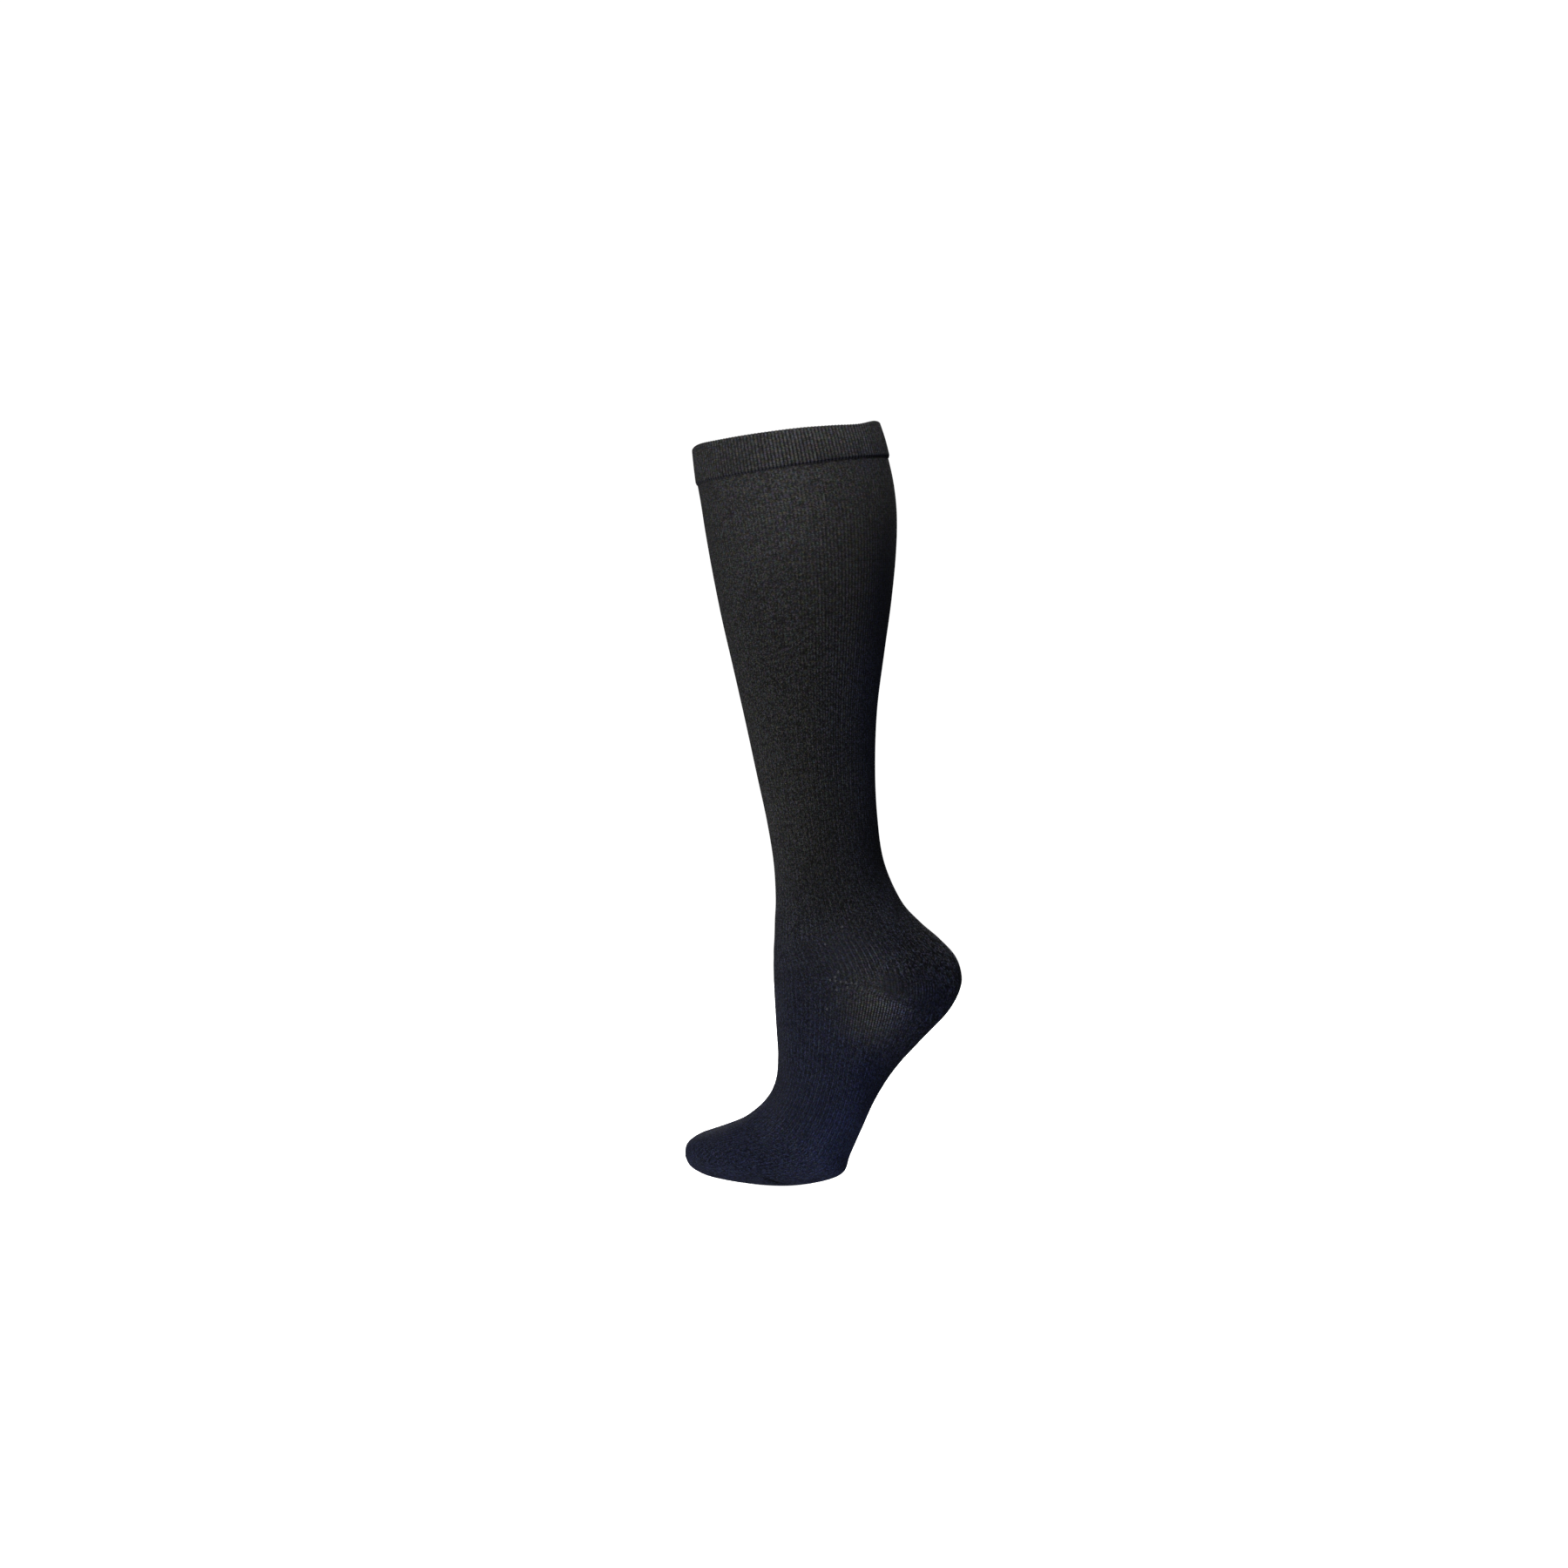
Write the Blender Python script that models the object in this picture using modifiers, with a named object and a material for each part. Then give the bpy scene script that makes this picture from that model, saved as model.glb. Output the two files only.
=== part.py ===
"""Knee-high compression stocking, hollow and filled out in its worn shape, with the foot on tiptoe.

The frame is +Z up, with the toes towards -X and the origin at the middle of the top opening, where the
wearer's calf holds the stocking up. It is symmetric about the plane Y = 0. Leg, heel, foot and toe are
walls on one lofted surface, and the turned band is a ring above them. Both follow the sections below.
"""
from collections import namedtuple
from math import cos, pi, sin

import bmesh
import bpy
from mathutils import Vector

MM = 0.001

# Driving sizes, in metres
LEG_WALL = 1.2 * MM   # one layer of the stretched knit
BAND_WALL = 2.4 * MM  # the band is turned double
HEEL_WALL = 1.6 * MM  # heel and toe are knitted with a second yarn
TOE_WALL = 1.6 * MM
SEAM_GAP = 0.4 * MM   # between neighbours on the outside; it narrows inwards where the cloth bends

COLUMNS = 36          # facets round the stocking
ROWS_PER_SECTION = 2  # facet rows from one section to the next
RING_STEPS = 180      # points that a section's outline is measured with
HEEL_COLUMN = 7       # the heel pocket runs from this column round the back to its mirror image
FOLD_STEPS = 4        # facets over the band's folded top edge

# How far the calf pushes the band's top edge up, evenly spaced from the front to the back, in mm
EDGE_RISES = (0.6, 2.0, 1.9, 1.8, 1.6, 1.2, 0.3, -0.4, 1.2, 1.0)

# A section is flat and square to the plane Y = 0. It runs from a point on the front (shin, instep, top
# of the toes) to a point on the back (calf, heel, sole). widest is where along that line it is widest,
# as a share from the front, and the powers say how square the halves are, where 2 is an ellipse.
Section = namedtuple(
    "Section", "front_x front_z back_x back_z half_width widest front_power back_power")

BAND_SECTIONS = [  # mm
    Section(-58.3,   -9.5,  58.1,    7.0, 51.0, 0.50, 2.00, 2.15),  # folded top edge
    Section(-57.2,  -20.0,  61.4,   -3.0, 52.5, 0.50, 2.00, 2.15),
    Section(-55.9,  -30.5,  64.0,  -13.2, 53.5, 0.50, 2.00, 2.15),  # linking seam
]

SECTIONS = [  # mm
    Section(-55.0,  -30.9,  63.1,  -13.8, 52.7, 0.50, 2.00, 2.15),  # linking seam
    Section(-52.9,  -42.4,  66.7,  -30.5, 54.5, 0.51, 2.00, 2.15),
    Section(-50.0,  -60.8,  68.6,  -50.0, 55.5, 0.53, 1.97, 2.15),  # widest of the calf
    Section(-45.6,  -85.6,  68.0,  -73.7, 54.5, 0.54, 1.95, 2.15),
    Section(-39.7, -114.8,  65.1, -103.4, 51.5, 0.55, 1.95, 2.15),
    Section(-32.7, -145.0,  60.8, -134.7, 46.5, 0.55, 1.95, 2.12),
    Section(-25.1, -178.5,  56.4, -169.3, 40.5, 0.54, 1.97, 2.10),
    Section(-18.1, -210.9,  55.1, -203.9, 35.0, 0.52, 2.00, 2.05),
    Section(-11.9, -239.5,  56.4, -235.2, 31.0, 0.50, 2.00, 2.00),  # narrowest of the ankle
    Section( -7.8, -264.9,  60.5, -263.8, 29.5, 0.48, 2.00, 2.00),
    Section( -6.5, -286.5,  71.0, -288.1, 30.0, 0.45, 2.00, 2.05),
    Section( -7.0, -300.5,  82.9, -301.6, 30.5, 0.44, 2.00, 2.15),
    Section( -7.3, -311.3,  94.8, -311.9, 31.0, 0.44, 2.00, 2.30),  # ankle line, top of the heel
    Section( -7.6, -316.2, 105.0, -323.2, 31.5, 0.45, 2.00, 2.45),
    Section( -7.8, -320.5, 108.8, -335.6, 32.0, 0.46, 2.00, 2.55),
    Section( -7.8, -324.8, 106.7, -346.4, 32.5, 0.47, 2.00, 2.55),
    Section( -7.8, -330.8,  99.1, -358.8, 33.0, 0.48, 2.00, 2.50),  # end of the heel pocket
    Section( -7.3, -347.0,  83.4, -375.0, 34.0, 0.49, 2.00, 2.40),
    Section( -6.2, -365.9,  67.2, -392.9, 35.5, 0.50, 2.00, 2.30),
    Section( -5.1, -384.2,  55.4, -411.2, 38.0, 0.51, 2.00, 2.25),  # instep
    Section( -6.5, -399.9,  46.7, -430.1, 40.5, 0.53, 2.05, 2.25),
    Section(-12.7, -411.8,  39.7, -445.8, 42.5, 0.55, 2.05, 2.30),
    Section(-24.0, -421.5,  35.4, -456.6, 44.0, 0.56, 2.05, 2.35),  # ball of the foot
    Section(-34.8, -426.3,  22.4, -462.0, 44.5, 0.56, 2.05, 2.35),
    Section(-44.6, -429.6,   1.4, -464.7, 43.0, 0.56, 2.05, 2.30),  # start of the toe cap
    Section(-52.7, -432.5, -21.9, -463.6, 38.8, 0.55, 2.05, 2.25),
    Section(-58.6, -436.1, -44.6, -459.8, 30.5, 0.53, 2.05, 2.15),
    Section(-61.3, -439.0, -54.8, -456.0, 20.5, 0.51, 2.05, 2.10),
    Section(-62.4, -442.0, -59.9, -452.3, 10.8, 0.50, 2.00, 2.00),
    Section(-62.6, -446.9, -62.6, -446.9,  0.0, 0.50, 2.00, 2.00),  # tip of the toe
]
LAST_ROW = (len(SECTIONS) - 1) * ROWS_PER_SECTION
ANKLE_ROW = 12 * ROWS_PER_SECTION
HEEL_END_ROW = 16 * ROWS_PER_SECTION
TOE_ROW = 24 * ROWS_PER_SECTION

BLACK_KNIT = (0.020, 0.020, 0.023, 1.0)
NAVY_BLACK_KNIT = (0.016, 0.016, 0.026, 1.0)
KNIT_ROUGHNESS = 0.85


def between(a, b, c, d, share):
    """The value a share of the way from b to c, on a smooth curve that also minds a and d."""
    rise = (c - a) / 2
    run = (d - b) / 2
    bend = 2 * (b - c) + rise + run
    return b + share * (rise + share * (3 * (c - b) - 2 * rise - run + share * bend))


def section_at(sections, place):
    """The section at a place such as 3.5, half way from section 3 to section 4, in metres."""
    last = len(sections) - 1
    start = min(int(place), last - 1)
    four = [sections[min(max(start + step, 0), last)] for step in (-1, 0, 1, 2)]
    mixed = Section(*[between(*values, place - start) for values in zip(*four)])
    lengths = [value * MM for value in mixed[:5]]
    return Section(*lengths, *mixed[5:])


def outline_point(section, turn):
    """A point of a section's outline. turn is 0 at the front, pi at the back and positive to +Y."""
    front = Vector((section.front_x, 0, section.front_z))
    back = Vector((section.back_x, 0, section.back_z))
    middle = front.lerp(back, section.widest)
    end = front if cos(turn) > 0 else back
    power = section.front_power if cos(turn) > 0 else section.back_power
    along = abs(cos(turn)) ** (2 / power)
    across = abs(sin(turn)) ** (2 / power)
    side = section.half_width * across * (1 if sin(turn) > 0 else -1)
    return middle.lerp(end, along) + Vector((0, side, 0))


def ring(section):
    """A section's corners, evenly spaced round it from the front over +Y."""
    points = [outline_point(section, 2 * pi * step / RING_STEPS) for step in range(RING_STEPS + 1)]
    lengths = [0.0]
    for start, end in zip(points, points[1:]):
        lengths.append(lengths[-1] + (end - start).length)
    corners, step = [], 0
    for column in range(COLUMNS):
        wanted = lengths[-1] * column / COLUMNS
        while lengths[step + 1] < wanted:
            step += 1
        share = (wanted - lengths[step]) / (lengths[step + 1] - lengths[step])
        corners.append(points[step].lerp(points[step + 1], share))
    return corners


def loft_form():
    """The outside of leg, foot and toes as one open surface, its facets in order of row and column."""
    form = bmesh.new()
    rings = [[form.verts.new(corner) for corner in ring(section_at(SECTIONS, row / ROWS_PER_SECTION))]
             for row in range(LAST_ROW)]
    tip = SECTIONS[-1]
    rings.append([form.verts.new(Vector((tip.front_x, 0, tip.front_z)) * MM)] * COLUMNS)
    for upper, lower in zip(rings, rings[1:]):
        for column in range(COLUMNS):
            right = (column + 1) % COLUMNS
            corners = upper[column], upper[right], lower[right], lower[column]
            form.faces.new(dict.fromkeys(corners))
    form.faces.index_update()
    form.normal_update()
    return form


def draw_back_edges(surface, distance):
    """Moves the open edges of a surface inwards, within the surface, by a distance."""
    ways = {}
    for edge in [edge for edge in surface.edges if edge.is_boundary]:
        face = edge.link_faces[0]
        start, end = (vert.co for vert in edge.verts)
        inwards = face.normal.cross(end - start).normalized()
        if inwards.dot(face.calc_center_median() - start) < 0:
            inwards.negate()
        for vert in edge.verts:
            ways.setdefault(vert, []).append(inwards)
    for vert, (one, other) in ways.items():  # a mitre, so that both edges move by the distance
        vert.co += (one + other) * distance / (1 + one.dot(other))


def in_heel(row, column):
    return ANKLE_ROW <= row < HEEL_END_ROW and HEEL_COLUMN <= column < COLUMNS - HEEL_COLUMN


def in_foot(row, column):
    return ANKLE_ROW <= row < TOE_ROW and not in_heel(row, column)


def in_leg(row, column):
    return row < ANKLE_ROW


def in_toe(row, column):
    return row >= TOE_ROW


def add_wall(name, form, belongs, wall, colour):
    """A wall on the facets of the form whose row and column belong to the piece."""
    surface = form.copy()
    surface.faces.ensure_lookup_table()
    others = [face for face in surface.faces if not belongs(*divmod(face.index, COLUMNS))]
    bmesh.ops.delete(surface, geom=others, context="FACES")
    draw_back_edges(surface, SEAM_GAP / 2)
    thickness = add_object(name, surface, colour).modifiers.new("Wall", "SOLIDIFY")
    thickness.thickness = wall
    thickness.offset = -1
    thickness.use_even_offset = True
    thickness.use_quality_normals = True


def edge_rise(column):
    """How far the band's top edge rises at a column, in metres."""
    place = min(column, COLUMNS - column) / (COLUMNS / 2) * (len(EDGE_RISES) - 1)
    start = min(int(place), len(EDGE_RISES) - 2)
    low, high = EDGE_RISES[start], EDGE_RISES[start + 1]
    return (low + (high - low) * (place - start)) * MM


def band_profile(rings, column, middle):
    """The closed profile of the band at a column: up the inside, over the fold and down the outside."""
    edge, below = rings[0][column], rings[1][column]
    down = (below - edge).normalized()
    across = rings[0][(column + 1) % COLUMNS] - rings[0][column - 1]
    inwards = across.cross(down).normalized()
    if inwards.dot(middle - edge) < 0:
        inwards.negate()
    top = edge - down * edge_rise(column)
    radius = BAND_WALL / 2
    outside = [corners[column] for corners in rings[1:]]
    inside = [point + inwards * BAND_WALL for point in outside]
    fold = [top + down * radius * (1 - sin(turn)) + inwards * radius * (1 + cos(turn))
            for turn in [pi * step / FOLD_STEPS for step in range(FOLD_STEPS + 1)]]
    return inside[::-1] + fold + outside


def add_band():
    """The turned band: a ring of double cloth whose top edge is a rounded fold."""
    rows = (len(BAND_SECTIONS) - 1) * ROWS_PER_SECTION
    rings = [ring(section_at(BAND_SECTIONS, row / ROWS_PER_SECTION)) for row in range(rows + 1)]
    middle = sum(rings[0], Vector()) / COLUMNS
    band = bmesh.new()
    profiles = [[band.verts.new(point) for point in band_profile(rings, column, middle)]
                for column in range(COLUMNS)]
    for column, after in enumerate(profiles):
        before = profiles[column - 1]
        for step in range(len(after)):
            band.faces.new((before[step - 1], before[step], after[step], after[step - 1]))
    bmesh.ops.recalc_face_normals(band, faces=band.faces)
    add_object("top_band", band, BLACK_KNIT)


def add_object(name, surface, colour):
    """Links a surface as a new object, smooth, with a cloth material of its own."""
    mesh = bpy.data.meshes.new(name)
    surface.to_mesh(mesh)
    surface.free()
    mesh.shade_smooth()
    material = bpy.data.materials.new(name + "_knit")
    material.use_nodes = True
    shader = material.node_tree.nodes["Principled BSDF"]
    shader.inputs["Base Color"].default_value = colour
    shader.inputs["Roughness"].default_value = KNIT_ROUGHNESS
    shader.inputs["Metallic"].default_value = 0.0
    mesh.materials.append(material)
    piece = bpy.data.objects.new(name, mesh)
    stocking.objects.link(piece)
    return piece


for old in list(bpy.data.objects):
    bpy.data.objects.remove(old)
stocking = bpy.data.collections.new("compression_stocking")
bpy.context.scene.collection.children.link(stocking)

add_band()
leg_and_foot = loft_form()
add_wall("leg", leg_and_foot, in_leg, LEG_WALL, BLACK_KNIT)
add_wall("heel_pocket", leg_and_foot, in_heel, HEEL_WALL, NAVY_BLACK_KNIT)
add_wall("foot", leg_and_foot, in_foot, LEG_WALL, NAVY_BLACK_KNIT)
add_wall("toe_cap", leg_and_foot, in_toe, TOE_WALL, NAVY_BLACK_KNIT)
leg_and_foot.free()
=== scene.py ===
# A knee-high compression stocking in its worn shape, on tiptoe: nylon and elastane, knitted in the round.
import functools
import math

import bpy
import numpy as np
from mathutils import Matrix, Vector


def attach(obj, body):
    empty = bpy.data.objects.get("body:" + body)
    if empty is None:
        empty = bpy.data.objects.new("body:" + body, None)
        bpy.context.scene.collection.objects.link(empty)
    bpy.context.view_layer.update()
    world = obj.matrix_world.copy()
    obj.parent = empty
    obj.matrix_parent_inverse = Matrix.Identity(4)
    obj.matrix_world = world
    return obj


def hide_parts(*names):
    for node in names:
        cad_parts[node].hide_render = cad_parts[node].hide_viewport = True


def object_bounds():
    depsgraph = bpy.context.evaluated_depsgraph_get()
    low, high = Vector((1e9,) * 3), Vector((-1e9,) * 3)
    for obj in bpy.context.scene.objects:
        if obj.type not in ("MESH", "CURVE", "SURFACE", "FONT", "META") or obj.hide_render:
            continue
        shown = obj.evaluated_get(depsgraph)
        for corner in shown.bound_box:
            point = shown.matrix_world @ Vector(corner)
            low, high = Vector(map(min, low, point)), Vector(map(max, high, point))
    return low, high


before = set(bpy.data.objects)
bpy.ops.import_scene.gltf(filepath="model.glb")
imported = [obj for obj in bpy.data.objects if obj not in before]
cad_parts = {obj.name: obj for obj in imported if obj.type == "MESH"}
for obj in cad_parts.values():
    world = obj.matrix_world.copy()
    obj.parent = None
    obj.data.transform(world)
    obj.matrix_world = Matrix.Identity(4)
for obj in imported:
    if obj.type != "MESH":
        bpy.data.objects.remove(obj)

mm = 0.001
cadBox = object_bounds()
print("frame loaded:", sorted(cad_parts))

# The worn form, section by section, in mm. The columns are front x, front z, back x, back z, half width,
# where the section is widest as a share from the front, and how square its front and back halves are.
bandForm = np.array([
    (-58.3,   -9.5,  58.1,    7.0, 51.0, 0.50, 2.00, 2.15),  # folded top edge
    (-57.2,  -20.0,  61.4,   -3.0, 52.5, 0.50, 2.00, 2.15),
    (-55.9,  -30.5,  64.0,  -13.2, 53.5, 0.50, 2.00, 2.15),  # linking seam
])
stockingForm = np.array([
    (-55.0,  -30.9,  63.1,  -13.8, 52.7, 0.50, 2.00, 2.15),  # linking seam
    (-52.9,  -42.4,  66.7,  -30.5, 54.5, 0.51, 2.00, 2.15),
    (-50.0,  -60.8,  68.6,  -50.0, 55.5, 0.53, 1.97, 2.15),  # widest of the calf
    (-45.6,  -85.6,  68.0,  -73.7, 54.5, 0.54, 1.95, 2.15),
    (-39.7, -114.8,  65.1, -103.4, 51.5, 0.55, 1.95, 2.15),
    (-32.7, -145.0,  60.8, -134.7, 46.5, 0.55, 1.95, 2.12),
    (-25.1, -178.5,  56.4, -169.3, 40.5, 0.54, 1.97, 2.10),
    (-18.1, -210.9,  55.1, -203.9, 35.0, 0.52, 2.00, 2.05),
    (-11.9, -239.5,  56.4, -235.2, 31.0, 0.50, 2.00, 2.00),  # narrowest of the ankle
    ( -7.8, -264.9,  60.5, -263.8, 29.5, 0.48, 2.00, 2.00),
    ( -6.5, -286.5,  71.0, -288.1, 30.0, 0.45, 2.00, 2.05),
    ( -7.0, -300.5,  82.9, -301.6, 30.5, 0.44, 2.00, 2.15),
    ( -7.3, -311.3,  94.8, -311.9, 31.0, 0.44, 2.00, 2.30),  # ankle line, top of the heel
    ( -7.6, -316.2, 105.0, -323.2, 31.5, 0.45, 2.00, 2.45),
    ( -7.8, -320.5, 108.8, -335.6, 32.0, 0.46, 2.00, 2.55),
    ( -7.8, -324.8, 106.7, -346.4, 32.5, 0.47, 2.00, 2.55),
    ( -7.8, -330.8,  99.1, -358.8, 33.0, 0.48, 2.00, 2.50),  # end of the heel pocket
    ( -7.3, -347.0,  83.4, -375.0, 34.0, 0.49, 2.00, 2.40),
    ( -6.2, -365.9,  67.2, -392.9, 35.5, 0.50, 2.00, 2.30),
    ( -5.1, -384.2,  55.4, -411.2, 38.0, 0.51, 2.00, 2.25),  # instep
    ( -6.5, -399.9,  46.7, -430.1, 40.5, 0.53, 2.05, 2.25),
    (-12.7, -411.8,  39.7, -445.8, 42.5, 0.55, 2.05, 2.30),
    (-24.0, -421.5,  35.4, -456.6, 44.0, 0.56, 2.05, 2.35),  # ball of the foot
    (-34.8, -426.3,  22.4, -462.0, 44.5, 0.56, 2.05, 2.35),
    (-44.6, -429.6,   1.4, -464.7, 43.0, 0.56, 2.05, 2.30),  # start of the toe cap
    (-52.7, -432.5, -21.9, -463.6, 38.8, 0.55, 2.05, 2.25),
    (-58.6, -436.1, -44.6, -459.8, 30.5, 0.53, 2.05, 2.15),
    (-61.3, -439.0, -54.8, -456.0, 20.5, 0.51, 2.05, 2.10),
    (-62.4, -442.0, -59.9, -452.3, 10.8, 0.50, 2.00, 2.00),
    (-62.6, -446.9, -62.6, -446.9,  0.0, 0.50, 2.00, 2.00),  # tip of the toe
])
anklePlace, heelEndPlace, toePlace, tipPlace = 12, 16, 24, 29

knit = {
    "wales": 156,            # ribs round the stocking, coarser than its 300 to 400 real wales, to show
    "columnsPerWale": 4,
    "walePitch": 1.9,        # mm from wale to wale round the heel; 2.3 at the calf, 1.3 at the ankle
    "courseHeight": 1.27,    # mm from row to row of stitches at the side, coarser than real as well
    "innerRowStep": 6,       # the hidden side of the cloth is this much coarser
    "wall": 0.9,             # mm of cloth under the ridges of the wales
    "splicedWall": 1.3,      # mm at heel and toe, where a second yarn is knitted in
    "ridge": 0.22,           # mm that the wales stand out
    "reliefSpan": (0.1, 1.2),  # least and most share of that, by how clearly the wales show
    "crestPower": 0.8,       # under 1 for broad crests and narrow valleys
    "laidBack": 0.3,         # share of a ridge that every second wale lies deeper, on ankle and foot
    "relaxed": 0.78,         # a round of the knit off the leg, as a share of its worn round
    "heelWale": 33,          # the heel pocket runs from this wale round the back to its mirror image
}
columns = knit["wales"] * knit["columnsPerWale"]
quarter = columns // 4
heelColumn = knit["heelWale"] * knit["columnsPerWale"]
outlineSteps = 1440          # points round one section, before they are spaced evenly
finePerSection = 24          # rows of the fine grid from one section of the form to the next


def smoothRows(form, places):
    # the form at places such as 3.5, on a smooth curve through its rows
    first = np.clip(places.astype(int), 0, len(form) - 2)
    before, start, end, beyond = (form[np.clip(first + step, 0, len(form) - 1)] for step in (-1, 0, 1, 2))
    share = (places - first)[:, None]
    slopeIn, slopeOut = (end - before) / 2, (beyond - start) / 2
    bend = 3 * (end - start) - 2 * slopeIn - slopeOut
    turn = 2 * (start - end) + slopeIn + slopeOut
    return start + share * (slopeIn + share * (bend + share * turn))


def softStep(value, low, high):
    # from 0 at low to 1 at high, level at both
    share = np.clip((value - low) / (high - low), 0, 1)
    return share * share * (3 - 2 * share)


def unit(vectors):
    return vectors / np.linalg.norm(vectors, axis=-1, keepdims=True)


def lengthsAlong(line):
    # how far each point of a line lies along it from its start
    return np.concatenate([[0], np.cumsum(np.linalg.norm(np.diff(line, axis=0), axis=1))])


def ringPoints(section, arcShares):
    # points round one section in mm, from the front over +Y, at these shares of its length
    frontX, frontZ, backX, backZ, halfWidth, widest, frontPower, backPower = section
    turn = np.linspace(0, 2 * math.pi, outlineSteps + 1)
    isFront = np.cos(turn) > 0
    power = np.where(isFront, frontPower, backPower)
    along = np.abs(np.cos(turn)) ** (2 / power)
    across = np.abs(np.sin(turn)) ** (2 / power) * np.sign(np.sin(turn))
    line = np.where(isFront, widest * (1 - along), widest + (1 - widest) * along)
    outline = np.stack([frontX + (backX - frontX) * line, halfWidth * across,
                        frontZ + (backZ - frontZ) * line], axis=1)
    lengths = lengthsAlong(outline)
    wanted = np.asarray(arcShares) * lengths[-1]
    points = np.stack([np.interp(wanted, lengths, outline[:, axis]) for axis in range(3)], axis=1)
    return points, lengths[-1]


def gridNormals(points, alongPoints=None):
    # normals of a grid of points that is closed along its second axis
    around = np.roll(points, -1, axis=1) - np.roll(points, 1, axis=1)
    along = np.gradient(points, axis=0) if alongPoints is None else alongPoints
    normals = np.cross(around, along)
    normals /= np.maximum(np.linalg.norm(normals, axis=2, keepdims=True), 1e-9)
    return normals


# One fine grid of the whole leg and foot, which every piece of knit is read from
finePlaces = np.linspace(0, tipPlace, tipPlace * finePerSection + 1)
fineRows, fineRounds = [], []
for section in smoothRows(stockingForm, finePlaces):
    points, around = ringPoints(section, np.arange(columns) / columns)
    fineRows.append(points)
    fineRounds.append(around)
finePoints, fineRounds = np.array(fineRows), np.array(fineRounds)
fineNormals = gridNormals(finePoints)
fineNormals *= np.sign(np.sum(fineNormals * (finePoints - finePoints.mean(axis=1, keepdims=True))))
fineNormals[-1] = unit(fineNormals[-3].mean(axis=0))  # the last ring is one point, the tip of the toe
sideLengths = lengthsAlong(finePoints[:, quarter])
fineCourses = sideLengths / knit["courseHeight"]
print("form laid out:", finePoints.shape)

suture = {
    # the seam line under the heel pocket runs this many mm above its straight row, at these x in mm
    "x": (10, 24, 34, 45, 57, 68, 78),
    "rise": (0.0, 2.7, 3.8, 5.3, 5.0, 1.7, 0.0),
    "rowHeight": 9.8,        # mm down the side from one section of the form to the next
    "easeFrom": 13, "easeTo": 19.5,  # the places between which the rows of stitches are drawn up with it
    "appears": (22, 66), "fades": (80, 100),  # x in mm
    "grooveWidth": 0.8,      # mm
    "grooveDepth": 0.15,     # mm
    "shade": 0.22,           # painted shade in the groove: how much darker the cloth is painted there
}
sutureX = finePoints[heelEndPlace * finePerSection, :, 0]
sutureShift = -np.interp(sutureX, suture["x"], suture["rise"]) / suture["rowHeight"]
sutureShows = softStep(sutureX, *suture["appears"]) * (1 - softStep(sutureX, *suture["fades"]))


def layOut(rows):
    # the places of a grid of stitches, drawn up along the heel's seam line, and its groove there
    grid = np.repeat(rows[:, None], columns, axis=1)
    ease = softStep(grid, suture["easeFrom"], heelEndPlace)
    ease *= 1 - softStep(grid, heelEndPlace, suture["easeTo"])
    away = (grid - heelEndPlace) * suture["rowHeight"] / suture["grooveWidth"]
    return grid + ease * sutureShift, np.exp(-away ** 2) * sutureShows


# Where the wales run: how far the heel draws the knit at the sides forwards, as a share of the round,
# at places down the form. They bend at its seam line, where the wales above it end and others begin.
waleRun = {
    "above": ((9, 10, 11, 12, 13, 14, 15, 16),
              (0.0, 0.004, 0.012, 0.024, 0.026, 0.020, 0.006, -0.008)),
    "below": ((16, 17, 18, 19, 20, 21, 22),   # starts 9 wales further on than the other ends
              (0.0497, 0.028, 0.006, -0.008, -0.006, -0.002, 0.0)),
    "frontEase": 0.10, "backEase": 0.40,      # shares of the round, between which they are drawn fully
}


def waleNumbers(places, isBelow):
    # which wale lies at each point of a grid of places, counted from the front over +Y
    share = np.arange(columns + 1) / columns
    side = np.minimum(share, 1 - share)
    places = np.hstack([places, places[:, :1]])
    shift = np.where(isBelow, np.interp(places, *waleRun["below"]), np.interp(places, *waleRun["above"]))
    shift *= softStep(side, 0, waleRun["frontEase"]) * (1 - softStep(side, waleRun["backEase"], 0.5))
    return knit["wales"] * np.where(share > 0.5, share - shift, share + shift)


def formAt(places):
    # points and outward normals at a grid of places, one column for each column of the form
    at = np.clip(places * finePerSection, 0, len(finePlaces) - 1)
    low = np.minimum(at.astype(int), len(finePlaces) - 2)
    share = (at - low)[..., None]
    column = np.arange(columns)[None, :]
    points = finePoints[low, column] * (1 - share) + finePoints[low + 1, column] * share
    normals = fineNormals[low, column] * (1 - share) + fineNormals[low + 1, column] * share
    return points, unit(normals)


# Soft creases in the cloth: a line over the surface from one point to another, each as
# (share round from the front, place down the form), with its half width and depth in mm
creases = [
    {"line": ((0.322, 24.27), (0.395, 24.02)), "halfWidth": 1.6, "depth": 1.6},  # under the ball
    {"line": ((0.375, 22.6), (0.40, 23.5)), "halfWidth": 2.6, "depth": 0.5},
    {"line": ((0.30, 24.4), (0.33, 24.9)), "halfWidth": 2.2, "depth": 0.35},
    {"line": ((0.02, 18.2), (0.10, 17.6)), "halfWidth": 2.8, "depth": 0.35},     # in the instep's bend
    {"line": ((0.03, 16.4), (0.12, 15.6)), "halfWidth": 3.2, "depth": 0.40},
    {"line": ((0.01, 14.6), (0.08, 14.0)), "halfWidth": 2.6, "depth": 0.30},
    {"line": ((0.40, 10.6), (0.47, 10.2)), "halfWidth": 3.0, "depth": 0.35},     # above the heel
    {"line": ((0.41, 11.7), (0.48, 11.2)), "halfWidth": 2.6, "depth": 0.30},
]
creaseShade = 0.85           # painted shade in a crease: how much darker the cloth is painted there, for each mm of depth
creaseTaper = 0.6            # how much shallower a crease is at its ends


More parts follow.
